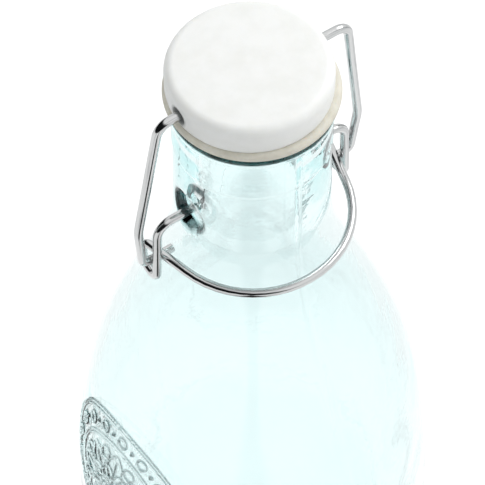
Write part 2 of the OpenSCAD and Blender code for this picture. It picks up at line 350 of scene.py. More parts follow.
@dataclass(frozen=True)
class DrawnSteel:
    """Bright drawn spring steel wire: shiny, with fine die lines along its length.

    The pattern reads the wire's own straightened coordinates, so that the lines
    follow every bend as they do on wire that was drawn straight and bent later.
    """

    name: str = "bright_drawn_steel"
    bright: str = "#d3d4d4"
    dull: str = "#8f9193"
    line_mm: float = 0.45
    line_depth_mm: float = 0.02
    stretch: float = 0.025
    mark_mm: float = 7.0
    roughness: Span = (0.07, 0.18)

    def make(self) -> bpy.types.Material:
        """Build the material."""
        made, tree = blank(self.name)
        wire = add(tree, "Attribute", attribute_name=STRAIGHT, attribute_type="GEOMETRY")
        place = wire.outputs["Vector"]
        drawn = add(tree, "Mapping", {"Vector": place, "Scale": (1.0, 1.0, self.stretch)})
        lines = add(tree, "TexNoise", waves(drawn, self.line_mm, 4.0) | {"Roughness": 0.6})
        marks = add(tree, "TexNoise", waves(place, self.mark_mm, 4.0))
        shades = (0.3, self.dull), (0.5, self.bright)
        low, high = self.roughness
        rough = {"Value": marks, "To Min": low, "To Max": high}
        steel = {
            "Base Color": add(tree, "ValToRGB", {"Fac": lines}, shades),
            "Metallic": 1.0,
            "Roughness": add(tree, "MapRange", rough),
            "Normal": add(tree, "Bump", bumps(lines, self.line_depth_mm, 0.5)),
        }
        add(tree, "OutputMaterial", {"Surface": add(tree, "BsdfPrincipled", steel)})
        return made


# ---------------------------------------------------------------- modelling


def deselect_all() -> None:
    """Leave edit mode and let go of every object."""
    if bpy.context.mode != "OBJECT":
        bpy.ops.object.mode_set(mode="OBJECT")
    bpy.ops.object.select_all(action="DESELECT")


def pick(piece: bpy.types.Object) -> None:
    """Select one object alone and make it active."""
    deselect_all()
    piece.select_set(True)
    bpy.context.view_layer.objects.active = piece


def arc(
    centre: tuple[float, float], radius: float, first: float, last: float, steps: int
) -> Profile:
    """Points of an arc in a half section.

    Args:
        centre: Distance from the axis and height of the arc's centre.
        radius: Radius of the arc.
        first: Angle of the first point in degrees.
        last: Angle of the last point in degrees.
        steps: Number of steps between them.

    Returns:
        The points, both ends among them.
    """
    angles = [math.radians(first + (last - first) * i / steps) for i in range(steps + 1)]
    return [
        (centre[0] + radius * math.cos(a), centre[1] + radius * math.sin(a))
        for a in angles
    ]


def spun(name: str, line: Profile, steps: int) -> bpy.types.Object:
    """Draw a half section with extrusions and spin it round Z into a closed skin.

    Args:
        name: Name of the new object.
        line: Distance from the axis and height of each point, in millimetres.
        steps: Number of steps round the axis.

    Returns:
        The new object.
    """
    deselect_all()
    places = [Vector((r * MM, 0.0, z * MM)) for r, z in line]
    bpy.ops.mesh.primitive_plane_add(size=MM, location=places[0])
    piece = bpy.context.active_object
    piece.name = piece.data.name = name
    bpy.ops.object.transform_apply(location=True)
    bpy.ops.object.mode_set(mode="EDIT")
    bpy.ops.mesh.select_all(action="SELECT")
    bpy.ops.mesh.merge(type="CENTER")
    for here, there in zip(places, places[1:]):
        bpy.ops.mesh.extrude_region_move(TRANSFORM_OT_translate={"value": there - here})
    bpy.ops.mesh.select_all(action="SELECT")
    bpy.ops.mesh.spin(
        steps=steps, angle=2 * math.pi, center=(0.0, 0.0, 0.0), axis=(0.0, 0.0, 1.0)
    )
    bpy.ops.mesh.select_all(action="SELECT")
    bpy.ops.mesh.remove_doubles(threshold=MERGE)
    bpy.ops.mesh.normals_make_consistent(inside=False)
    bpy.ops.object.mode_set(mode="OBJECT")
    return piece


def refine(piece: bpy.types.Object, wanted: Callable[[Vector], bool], cuts: int) -> None:
    """Subdivide the faces whose middle is wanted.

    Args:
        piece: Object to refine.
        wanted: Says for a face's middle, in metres, whether the face is cut.
        cuts: Number of cuts along each edge.
    """
    pick(piece)
    bpy.ops.object.mode_set(mode="EDIT")
    bpy.ops.mesh.select_mode(type="FACE")
    bpy.ops.mesh.select_all(action="DESELECT")
    bpy.ops.object.mode_set(mode="OBJECT")
    for face in piece.data.polygons:
        face.select = wanted(face.center)
    bpy.ops.object.mode_set(mode="EDIT")
    bpy.ops.mesh.subdivide(number_cuts=cuts)
    bpy.ops.mesh.select_mode(type="VERT")
    bpy.ops.object.mode_set(mode="OBJECT")


def push(
    piece: bpy.types.Object,
    name: str,
    height: Callable[[Vector, Vector], float],
    direction: str = "NORMAL",
) -> None:
    """Move points along one direction by a height that is worked out for each.

    Args:
        piece: Object to shape.
        name: Name of the vertex group that holds the heights.
        height: Gives the move in metres from a point's place and normal.
        direction: Direction setting of the Displace modifier.
    """
    moves = [height(v.co, v.normal) for v in piece.data.vertices]
    most = max((abs(m) for m in moves), default=0.0)
    if most == 0.0:
        return
    for sign in (1.0, -1.0):
        group = piece.vertex_groups.new(name=name)
        for index, move in enumerate(moves):
            if move * sign > 0.0:
                group.add([index], move * sign / most, "REPLACE")
        shaper = piece.modifiers.new(name, "DISPLACE")
        shaper.direction = direction
        shaper.vertex_group = group.name
        shaper.mid_level = 0.0
        shaper.strength = most * sign
    pick(piece)
    for shaper in list(piece.modifiers):
        bpy.ops.object.modifier_apply(modifier=shaper.name)
    piece.vertex_groups.clear()


def cut(piece: bpy.types.Object, tool: bpy.types.Object) -> None:
    """Take a tool's shape out of a piece and remove the tool.

    Args:
        piece: Object to cut.
        tool: Object whose shape is taken out.
    """
    shaper = piece.modifiers.new("cut", "BOOLEAN")
    shaper.operation = "DIFFERENCE"
    shaper.solver = "EXACT"
    shaper.object = tool
    pick(piece)
    bpy.ops.object.modifier_apply(modifier=shaper.name)
    bpy.data.objects.remove(tool)


def finish_piece(
    piece: bpy.types.Object,
    body: Body,
    node: str,
    material: bpy.types.Material,
    sharp_deg: float = 40.0,
) -> None:
    """Smooth a piece, dress it and let it stand for its CAD node.

    Args:
        piece: The finished shape.
        body: Body that the piece rides on.
        node: CAD node that it stands for.
        material: Finish of the piece.
        sharp_deg: Angle above which an edge stays sharp.
    """
    pick(piece)
    bpy.ops.object.shade_smooth_by_angle(angle=math.radians(sharp_deg))
    piece.data.materials.clear()
    piece.data.materials.append(material)
    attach(piece, body.value)
    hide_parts(node)
    LOG.info("%s: %d faces", piece.name, len(piece.data.polygons))


def soft_step(value: float, low: float, high: float) -> float:
    """Smooth step from 0 at low to 1 at high."""
    t = min(max((value - low) / (high - low), 0.0), 1.0)
    return t * t * (3 - 2 * t)


@dataclass
class Medallion:
    """Round relief moulded on the shoulder: rims, a chain of rings and a rosette.

    Lengths are in millimetres.  Those of the rosette are shares of its radius, and
    those of a petal are shares of the petal's length.
    """

    centre_z: float = 178.4
    turn_deg: float = 3.7
    radius: float = 21.0
    band_relief: float = 0.12
    dome: float = 1.1
    figure_relief: float = 0.75
    rim_w: float = 1.1
    band_w: float = 5.0
    rings: int = 16
    petals: int = 8
    line_w: float = 0.6
    hair_w: float = 0.34
    bead_w: float = 1.5
    edge: float = 0.6
    long_petal: float = 0.9
    short_petal: float = 0.6
    heart_r: float = 0.12
    berry_out: float = 0.78
    berry_r: float = 0.11
    petal_foot: float = 0.22
    petal_w: float = 0.21
    petal_power: float = 0.75
    vein_h: float = 0.7
    vein_span: Span = (0.15, 0.8)

    def flat(self, place: Vector) -> tuple[float, float, float]:
        """Give a point's place on the medallion's face.

        Args:
            place: Point in metres.

        Returns:
            Height over the centre, place to the side, and distance out along its
            facing direction, in millimetres.
        """
        turn = math.radians(self.turn_deg)
        across = (-math.sin(turn) * place.x + math.cos(turn) * place.y) / MM
        out = -(math.cos(turn) * place.x + math.sin(turn) * place.y) / MM
        return place.z / MM - self.centre_z, across, out

    def ridge(self, distance: float, width: float) -> float:
        """Rounded ridge: 1 on its line, 0 beyond half its width."""
        t = min(1.0, abs(distance) / (width / 2))
        return 0.5 + 0.5 * math.cos(math.pi * t)

    def repeated(self, turn: float, count: int, r: float) -> tuple[float, float]:
        """Place of a point relative to the nearest of count figures round a ring.

        Args:
            turn: Turn of the point, 1 for a whole turn.
            count: Number of figures.
            r: Distance of the point from the middle.

        Returns:
            Distance out along the figure's own radius, and to its side.
        """
        off = (turn * count - math.floor(turn * count + 0.5)) * 2 * math.pi / count
        return r * math.cos(off), r * math.sin(off)

    def figure(self, up: float, across: float) -> float:
        """Rims, rings, beads and petals at a place on the face, from 0 to 1.

        Args:
            up: Height over the centre.
            across: Place to the side.

        Returns:
            Height of the tallest figure there.
        """
        r = math.hypot(up, across)
        turn = math.atan2(across, up) / (2 * math.pi)
        inner = self.radius - 2 * self.rim_w - self.band_w
        found = 0.0
        for rim in (self.radius, inner + self.rim_w):
            for line in (self.hair_w / 2, self.rim_w - self.hair_w / 2):
                found = max(found, self.ridge(r - rim + line, self.hair_w))
        middle = self.radius - self.rim_w - self.band_w / 2
        x, y = self.repeated(turn, self.rings, r)
        ring_r = self.band_w / 2 - self.line_w * 2
        found = max(found, self.ridge(math.hypot(x - middle, y) - ring_r, self.line_w))
        x, y = self.repeated(turn + 0.5 / self.rings, self.rings, r)
        found = max(found, self.ridge(math.hypot(x - middle, y), self.bead_w))
        found = max(found, self.petal(turn, r, inner * self.long_petal, 0.0))
        found = max(found, self.petal(turn, r, inner * self.short_petal, 0.5))
        found = max(found, self.ridge(r - inner * self.heart_r, self.line_w))
        x, y = self.repeated(turn + 0.5 / self.petals, self.petals, r)
        from_berry = math.hypot(x - inner * self.berry_out, y)
        return max(found, self.ridge(from_berry - inner * self.berry_r, self.line_w))

    def height(self, place: Vector) -> float:
        """Relief over the glass at a point of the outer skin, in millimetres.

        Args:
            place: Point in metres.

        Returns:
            The height.
        """
        up, across, out = self.flat(place)
        r = math.hypot(up, across)
        if out < 0.0 or r > self.radius:
            return 0.0
        pad = self.band_relief * soft_step(self.radius - r, 0.0, self.edge)
        pad += self.dome * (1 - (r / self.radius) ** 2)
        return pad + self.figure_relief * self.figure(up, across)

    def painted_shade(self, place: Vector) -> float:
        """Share of painted shade at a point of the outer skin, from 0 to 1, by how steeply
        a raised line falls there.

        Args:
            place: Point in metres.

        Returns:
            The steepness.
        """
        up, across, out = self.flat(place)
        if out < 0.0 or math.hypot(up, across) > self.radius:
            return 0.0
        found = self.figure(up, across)
        return 4 * found * (1 - found)

    def petal(self, turn: float, r: float, tip: float, offset: float) -> float:
        """Outline of the nearest petal of a rosette, 1 on its line.

        Args:
            turn: Turn of the point, 1 for a whole turn.
            r: Distance of the point from the middle.
            tip: Distance of the petals' tips from the middle.
            offset: Turn of the rosette, 1 for one petal.

        Returns:
            Height of the ridge from 0 to 1.
        """
        x, y = self.repeated(turn + offset / self.petals, self.petals, r)
        low = tip * self.petal_foot
        if not low < x < tip:
            return 0.0
        t = (x - low) / (tip - low)
        half_width = tip * self.petal_w * math.sin(math.pi * t) ** self.petal_power
        first, last = self.vein_span
        vein = self.vein_h * self.ridge(y, self.line_w) if first < t < last else 0.0
        return max(self.ridge(abs(y) - half_width, self.line_w), vein)


@dataclass
class GlassBottle:
    """Blown glass bottle: body, shoulder, neck, sockets, seams and medallion.

    Lengths are in millimetres, rates of waves in waves per metre.
    """

    height: float = 296.0
    body_r: float = 43.2
    shoulder_z: float = 142.0
    low_pull: float = 75.0
    high_pull: float = 35.0
    heel_r: float = 7.0
    wall: float = 3.2
    base_t: float = 6.0
    punt_rise: float = 5.0
    foot_ring_w: float = 5.0
    neck_r: float = 16.8
    finish_r: float = 16.6
    finish_h: float = 13.5
    finish_step: float = 0.3
    neck_h: float = 32.0
    bore_r: float = 11.6
    lip_round: float = 1.4
    bead_r: float = 17.3
    bead_h: float = 2.6
    pivot_drop: float = 27.8
    dimple_r: float = 5.8
    dimple_floor_r: float = 3.9
    dimple_depth: float = 2.6
    pin_hole_r: float = 1.08
    pin_hole_depth: float = 1.4
    dimple_reach: float = 10.0
    dimple_fade: Span = (6.5, 9.5)
    bowl_soft: float = 0.3
    brim_soft: float = 0.12
    # Band of each socket's wall that gets painted shade.
    painted_shade_band: Span = (0.35, 0.75)
    seam_w: float = 0.5
    seam_h: float = 0.2
    seam_gap: float = 0.6
    wave_h: float = 0.3
    wave_rates: Span = (34.0, 90.0)
    wave_start: float = 25.0
    wave_top: float = 262.0
    wave_fade: Span = (205.0, 245.0)
    skin_t: float = 1.0
    near_skin: float = 0.8
    near_pin_r: float = 2.0
    near_pin_x: float = 13.0
    pin_cuts: int = 3
    relief_cuts: int = 6
    taper_steps: int = 38
    shoulder_steps: int = 92
    hollow_steps: int = 60
    steps: int = 208
    medallion: Medallion = field(default_factory=Medallion)

    def shoulder(self, low_r: float, high_r: float, steps: int) -> Profile:
        """Points of the shoulder curve from the body up to the neck.

        Args:
            low_r: Radius at the body.
            high_r: Radius at the neck.
            steps: Number of steps of the curve.

        Returns:
            The points.
        """
        top = self.height - self.neck_h
        low_z, high_z = self.shoulder_z + self.low_pull, top - self.high_pull
        points = []
        for i in range(steps + 1):
            t = i / steps
            s = 1 - t
            a, b, c, d = s**3, 3 * s * s * t, 3 * s * t * t, t**3
            z = a * self.shoulder_z + b * low_z + c * high_z + d * top
            points.append(((a + b) * low_r + (c + d) * high_r, z))
        return points

    def outer_line(self) -> Profile:
        """Outline of the glass from the foot ring up to the top of the lip."""
        start = self.height - self.neck_h
        ring = self.height - self.finish_h
        step = self.finish_step
        low_r = self.finish_r - step
        rows = self.taper_steps
        narrow, climb = low_r - self.neck_r, ring - 2 * step - start
        taper = [
            (self.neck_r + narrow * i / rows, start + climb * i / rows)
            for i in range(1, rows + 1)
        ]
        return (
            arc((self.body_r - self.heel_r, self.heel_r), self.heel_r, -90, 0, 12)
            + self.shoulder(self.body_r, self.neck_r, self.shoulder_steps)
            + taper
            + [
                (low_r + step * 0.15, ring - step * 0.6),
                (low_r + step * 0.75, ring + step * 0.4),
                (self.finish_r, ring + step * 1.4),
                (self.finish_r, ring + step * 2.4),
                (self.finish_r, self.height - self.bead_h - step * 2.4),
            ]
            + self.lip_bead()
        )

    def lip_bead(self) -> Profile:
        """Rounded bead round the lip, from the finish up to the lip's top."""
        low = self.height - self.bead_h
        step = self.bead_r - self.finish_r
        foot = [
            (self.finish_r + step * k * k * (3 - 2 * k), low + step * 1.3 * (k - 0.5))
            for k in (0.0, 0.2, 0.4, 0.6, 0.8, 1.0)
        ]
        top = (self.bead_r - self.lip_round, self.height - self.lip_round)
        return foot + arc(top, self.lip_round, 0, 90, 10)

    def inner_line(self) -> Profile:
        """Outline of the hollow from the lip down to the middle of the floor."""
        wall_r = self.body_r - self.wall
        r = wall_r - self.heel_r
        lip = (self.bore_r + self.lip_round, self.height - self.lip_round)
        return (
            arc(lip, self.lip_round, 90, 180, 7)
            + self.shoulder(wall_r, self.bore_r, self.hollow_steps)[::-1]
            + arc((r, self.base_t + self.heel_r), self.heel_r, 0, -90, 8)
            + [
                (r * k, self.base_t + self.punt_rise * 0.75 * (1 - k * k))
                for k in (0.85, 0.65, 0.45, 0.25, 0.1, 0.0)
            ]
        )

    def punt_line(self) -> Profile:
        """Underside from the middle of the push-up out to the foot ring."""
        r = self.body_r - self.heel_r - self.foot_ring_w
        return [
            (r * k, self.punt_rise * (1 - k**2.5))
            for k in (0.0, 0.1, 0.25, 0.45, 0.65, 0.8, 0.92, 1.0)
        ]

    def dimple(self, place: Vector, normal: Vector) -> float:
        """Move along X that sinks the pivot sockets into the neck.

        Args:
            place: Point in metres.
            normal: Direction that the skin faces at the point.

        Returns:
            The move in metres.
        """
        x, y, z = (c / MM for c in place)
        up = z - (self.height - self.pivot_drop)
        r = math.hypot(y, up)
        inner_skin = normal.x * x <= 0.0 or abs(x) < self.bore_r + self.skin_t
        if r > self.dimple_reach or inner_skin:
            return 0.0
        flare = self.dimple_depth / (self.dimple_r - self.dimple_floor_r)
        floor = self.neck_r - self.dimple_depth
        side = floor + (r - self.dimple_floor_r) * flare
        gap = side - floor
        bowl = (side + floor + math.sqrt(gap * gap + self.bowl_soft)) / 2
        past = abs(x) - bowl
        soft = self.brim_soft
        depth = (past + math.sqrt(past * past + 4 * soft * soft)) / 2
        depth *= 1.0 - soft_step(r, *self.dimple_fade)
        if r < self.pin_hole_r + 0.05:
            depth = abs(x) - floor + self.pin_hole_depth
        return -math.copysign(depth * MM, x)

    def skin(self, place: Vector, normal: Vector) -> float:
        """Relief of the outer skin: seams at the front and back, and the medallion.

        Args:
            place: Point in metres.
            normal: Direction that the skin faces at the point.

        Returns:
            The height in metres.
        """
        out = Vector((place.x, place.y, 0.0))
        if normal.dot(out) <= 0.0 or place.z < self.heel_r * MM * 0.99:
            return 0.0
        relief = self.medallion.height(place)
        if place.z < (self.height - self.bead_h - self.seam_gap) * MM:
            line = soft_step(self.seam_w - abs(place.x) / MM, 0.0, self.seam_w)
            relief += self.seam_h * line
        return relief * MM

    def uneven(self, place: Vector, normal: Vector) -> float:
        """Slow thickness waves of the blown hollow.

        Args:
            place: Point in metres.
            normal: Direction that the skin faces at the point.

        Returns:
            The height in metres.
        """
        out = Vector((place.x, place.y, 0.0))
        low = self.base_t + self.heel_r
        if normal.dot(out) >= 0.0 or not low < place.z / MM < self.wave_top:
            return 0.0
        slow, fast = self.wave_rates
        swell = noise.noise(place * slow) + 0.5 * noise.noise(place * fast)
        foot = soft_step(place.z / MM, low, low + self.wave_start)
        fade = foot * (1 - soft_step(place.z / MM, *self.wave_fade))
        return self.wave_h * MM * swell * fade

    def painted_shade(self, place: Vector) -> float:
        """Share of painted shade at a point, from 0 to 1, by how steep the skin is there.

        Args:
            place: Point in metres.

        Returns:
            The share of painted shade.
        """
        x, y, z = (c / MM for c in place)
        r = math.hypot(y, z - self.height + self.pivot_drop)
        middle = (self.dimple_r + self.dimple_floor_r) / 2
        reach = self.dimple_r - self.dimple_floor_r
        if r < self.dimple_r and self.bore_r + self.skin_t < abs(x):
            low, high = self.painted_shade_band
            return soft_step(reach - abs(r - middle), reach * low, reach * high)
        if math.hypot(x, y) > self.line_r(place.z) - self.near_skin:
            return self.medallion.painted_shade(place)
        return 0.0

    def mark_painted_shade(self, piece: bpy.types.Object) -> None:
        """Store for the finish the share of painted shade at each point, by how steep the
        skin is.

        Args:
            piece: The bottle.
        """
        marks = piece.data.attributes.new(PAINTED_SHADE_MASK, "FLOAT", "POINT")
        for corner in piece.data.vertices:
            marks.data[corner.index].value = self.painted_shade(corner.co)

    def build(self, material: bpy.types.Material) -> bpy.types.Object:
        """Model the bottle and dress it."""
        piece = spun(
            "bottle_glass",
            self.punt_line() + self.outer_line() + self.inner_line(),
            self.steps,
        )
        reach = self.medallion.radius + self.near_skin
        pivot = self.height - self.pivot_drop

        def near_medallion(middle: Vector) -> bool:
            up, across, out = self.medallion.flat(middle)
            skin_r = self.line_r(middle.z) - self.near_skin
            outside = math.hypot(middle.x, middle.y) / MM > skin_r
            return out > 0 and math.hypot(up, across) < reach and outside

        def near_pin(middle: Vector) -> bool:
            r = math.hypot(middle.y, middle.z - pivot * MM) / MM
            return r < self.near_pin_r and abs(middle.x) / MM > self.near_pin_x

        refine(piece, near_medallion, self.relief_cuts)
        refine(piece, near_pin, self.pin_cuts)
        push(piece, "socket", self.dimple, "X")
        push(piece, "relief", self.skin)
        push(piece, "waves", self.uneven)
        self.mark_painted_shade(piece)
        finish_piece(piece, Body.BOTTLE, "glass_bottle", material, 80.0)
        return piece

    def line_r(self, z: float) -> float:
        """Radius of the outer outline at a height in metres, in millimetres.

        Args:
            z: The height.

        Returns:
            The radius.
        """
        line = self.shoulder(self.body_r, self.neck_r, self.shoulder_steps)
        for (r0, z0), (r1, z1) in zip(line, line[1:]):
            if z0 <= z / MM <= z1:
                return r0 + (r1 - r0) * (z / MM - z0) / (z1 - z0)
        return self.body_r if z / MM < self.shoulder_z else self.neck_r


@dataclass
class Stopper:
    """White stopper: pill-shaped cap, cross hole, stem and keeper bead."""

    bottom_z: float = 298.5
    cap_r: float = 17.0
    cap_h: float = 7.2
    cap_round: float = 2.1
    cap_dome: float = 0.35
    cap_tuck: float = 0.5
    gasket_t: float = 2.2
    stem_r: float = 8.0
    keeper_r: float = 9.6
    keeper_h: float = 3.2
    hole_h: float = 2.8
    hole_r: float = 1.08
    flare_r: float = 2.5
    flare_depth: float = 2.2
    flare_power: float = 1.6
    flare_over: float = 0.5
    cutter_over: float = 1.0
    flare_steps: int = 8
    shift: float = 0.6
    steps: int = 160

    def line(self) -> Profile:
        """Half section from the foot of the keeper up to the middle of the top."""
        low = -self.gasket_t - self.keeper_h
        top_r = self.cap_r - self.cap_round
        points = [(0.0, low), (self.keeper_r - 1.4, low)]
        points += arc((self.keeper_r - 1.0, low + 1.0), 1.0, -60, 0, 4)
        points += [
            (self.keeper_r, -self.gasket_t),
            (self.stem_r, -self.gasket_t),
            (self.stem_r, 0.0),
            (self.cap_r - self.cap_tuck - 0.3, 0.0),
        ]
        tuck = (1.0, 0.05), (0.55, 0.3), (0.25, 0.75), (0.05, 1.5)
        points += [(self.cap_r - self.cap_tuck * share, z) for share, z in tuck]
        points += arc((top_r, self.cap_h - self.cap_round), self.cap_round, 0, 88, 12)
        points += [
            (top_r * k, self.cap_h + self.cap_dome * (1 - k * k))
            for k in (0.93, 0.8, 0.6, 0.4, 0.2, 0.0)
        ]
        return [(r, z + self.bottom_z) for r, z in points]

    def hole_line(self) -> Profile:
        """Half section of the cross hole's cutter, with a rounded flare at each end."""
        widen = self.flare_r + self.flare_over - self.hole_r
        start = self.cap_r - self.flare_depth
        reach = self.flare_depth + self.cutter_over
        shares = [i / self.flare_steps for i in range(self.flare_steps + 1)]
        power = self.flare_power
        half = [(self.hole_r + widen * t**power, start + reach * t) for t in shares]
        half.append((0.0, self.cap_r + self.cutter_over))
        return [(r, -z) for r, z in half[::-1]] + half

    def build(self, material: bpy.types.Material) -> bpy.types.Object:
        """Model the stopper and dress it."""
        piece = spun("stopper_cap", self.line(), self.steps)
        tool = spun("hole_cutter", self.hole_line(), 48)
        tool.data.transform(
            Matrix.Translation((0, 0, (self.bottom_z + self.hole_h) * MM))
            @ Matrix.Rotation(math.pi / 2, 4, "Y")
        )
        cut(piece, tool)
        piece.data.transform(Matrix.Translation((-self.shift * MM, 0, 0)))
        finish_piece(piece, Body.STOPPER, "stopper", material, 32.0)
        return piece


@dataclass
class Gasket:
    """Flat rubber ring whose edge bulges where the bail squeezes it."""

    bottom_z: float = 296.3
    thickness: float = 2.2
    outer_r: float = 18.0
    inner_r: float = 8.05
    shift: float = 0.6
    steps: int = 160

    def line(self) -> Profile:
        """Half section, closed on itself."""
        low, high = self.bottom_z, self.bottom_z + self.thickness
        half = self.thickness / 2
        edge = arc((self.outer_r - half, low + half), half, -90, 90, 16)
        return ([(self.inner_r, low)] + edge + [(self.inner_r, high), (self.inner_r, low)])

    def build(self, material: bpy.types.Material) -> bpy.types.Object:
        """Model the gasket and dress it."""
        piece = spun("gasket_ring", self.line(), self.steps)
        for corner in piece.data.vertices:
            if math.hypot(corner.co.x, corner.co.y) / MM < self.inner_r + 0.1:
                corner.co.x -= self.shift * MM
        finish_piece(piece, Body.STOPPER, "gasket", material)
        return piece


@dataclass
class BentWire:
    """Round wire through corner points, each corner bent to its own radius."""

    name: str
    corners: list[Vector]
    radii: list[float]
    diameter: float = 2.0
    sides: int = 24
    bend_deg: float = 7.5
    sample: float = 0.5
    end_round: float = 0.18
    least_step: float = 0.01

    def reach(self, i: int) -> float:
        """How far the bend at corner i reaches along its straights, in millimetres."""
        if i in (0, len(self.corners) - 1):
            return 0.0
        before = (self.corners[i] - self.corners[i - 1]).normalized()
        after = (self.corners[i + 1] - self.corners[i]).normalized()
        return self.radii[i] * math.tan(before.angle(after) / 2)

    def bends(self) -> list[tuple[Vector, Vector, Vector, Vector, float]]:
        """Start, end, centre, axis and angle of the bend at each inner corner."""
        found = []
        for i in range(1, len(self.corners) - 1):
            here = self.corners[i]
            before = (here - self.corners[i - 1]).normalized()
            after = (self.corners[i + 1] - here).normalized()
            turn = before.angle(after)
            span = self.reach(i)
            middle = here + (after - before).normalized() * (
                self.radii[i] / math.cos(turn / 2)
            )
            axis = before.cross(after).normalized()
            found.append((here - before * span, here + after * span, middle, axis, turn))
        return found

    def line(self) -> list[Vector]:
        """Closely spaced points of the wire's middle line, in millimetres."""
        points = [self.corners[0]]
        for start, end, middle, axis, turn in self.bends():
            points += self.between(points[-1], start)
            steps = max(2, math.ceil((start - middle).length * turn / self.sample))
            points += [
                middle + Matrix.Rotation(turn * k / steps, 3, axis) @ (start - middle)
                for k in range(1, steps + 1)
            ]
        return points + self.between(points[-1], self.corners[-1])

    def between(self, start: Vector, end: Vector) -> list[Vector]:
        """Points from start to end, without start."""
        steps = max(1, math.ceil((end - start).length / self.sample))
        return [start.lerp(end, k / steps) for k in range(1, steps + 1)]

    def model(self) -> bpy.types.Object:
        """Extrude a ring along each straight and spin it round each bend."""
        deselect_all()
        first = self.corners[1] - self.corners[0]
        bpy.ops.mesh.primitive_circle_add(
            vertices=self.sides,
            radius=self.diameter / 2 * MM,
            location=self.corners[0] * MM,
            rotation=first.to_track_quat("Z", "Y").to_euler(),
        )
        piece = bpy.context.active_object
        piece.name = piece.data.name = self.name
        bpy.ops.object.transform_apply(location=True, rotation=True)
        bpy.ops.object.mode_set(mode="EDIT")
        bpy.ops.mesh.select_all(action="SELECT")
        here = self.corners[0]
        for start, end, middle, axis, turn in self.bends():
            self.straight(start - here)
            # Without a window, spin turns the other way round its axis.
            bpy.ops.mesh.spin(
                steps=max(3, math.ceil(math.degrees(turn) / self.bend_deg)),
                angle=turn,
                center=middle * MM,
                axis=-axis,
            )
            here = end
        self.straight(self.corners[-1] - here)
        self.close_ends()
        bpy.ops.object.mode_set(mode="OBJECT")
        self.write_straightened(piece)
        return piece

    def straight(self, step: Vector) -> None:
        """Extrude the selected ring by one straight."""
        if step.length > self.least_step:
            bpy.ops.mesh.extrude_region_move(TRANSFORM_OT_translate={"value": step * MM})

    def close_ends(self) -> None:
        """Cap both ends and round the cut edge a little."""
        bpy.ops.mesh.select_all(action="SELECT")
        bpy.ops.mesh.remove_doubles(threshold=MERGE)
        bpy.ops.mesh.select_all(action="DESELECT")
        bpy.ops.mesh.select_non_manifold()
        bpy.ops.mesh.fill_holes(sides=0)
        bpy.ops.mesh.bevel(offset=self.end_round * MM, segments=3, affect="EDGES")
        bpy.ops.mesh.select_all(action="SELECT")
        bpy.ops.mesh.normals_make_consistent(inside=False)

    def write_straightened(self, piece: bpy.types.Object) -> None:
        """Store where each point would be if the wire were pulled straight.

        Args:
            piece: The wire.
        """
        line = self.line()
        along, sides = [0.0], []
        side = (line[1] - line[0]).orthogonal().normalized()
        for i, here in enumerate(line):
            ahead = (line[min(i + 1, len(line) - 1)] - line[max(i - 1, 0)]).normalized()
            side = (side - ahead * side.dot(ahead)).normalized()
            sides.append((side, ahead.cross(side)))
            if i:
                along.append(along[-1] + (here - line[i - 1]).length)
        tree = kdtree.KDTree(len(line))
        for i, here in enumerate(line):
            tree.insert(here * MM, i)
        tree.balance()
        mark = piece.data.attributes.new(STRAIGHT, "FLOAT_VECTOR", "POINT")
        for vertex, value in zip(piece.data.vertices, mark.data):
            _, i, _ = tree.find(vertex.co)
            off = vertex.co - line[i] * MM
            right, up = sides[i]
            value.vector = (off.dot(right), off.dot(up), along[i] * MM)


def mirrored(half: list[Vector]) -> list[Vector]:
    """Corner points from the far end on -X to the given half's end on +X."""
    return [Vector((-p.x, p.y, p.z)) for p in half[::-1]] + half


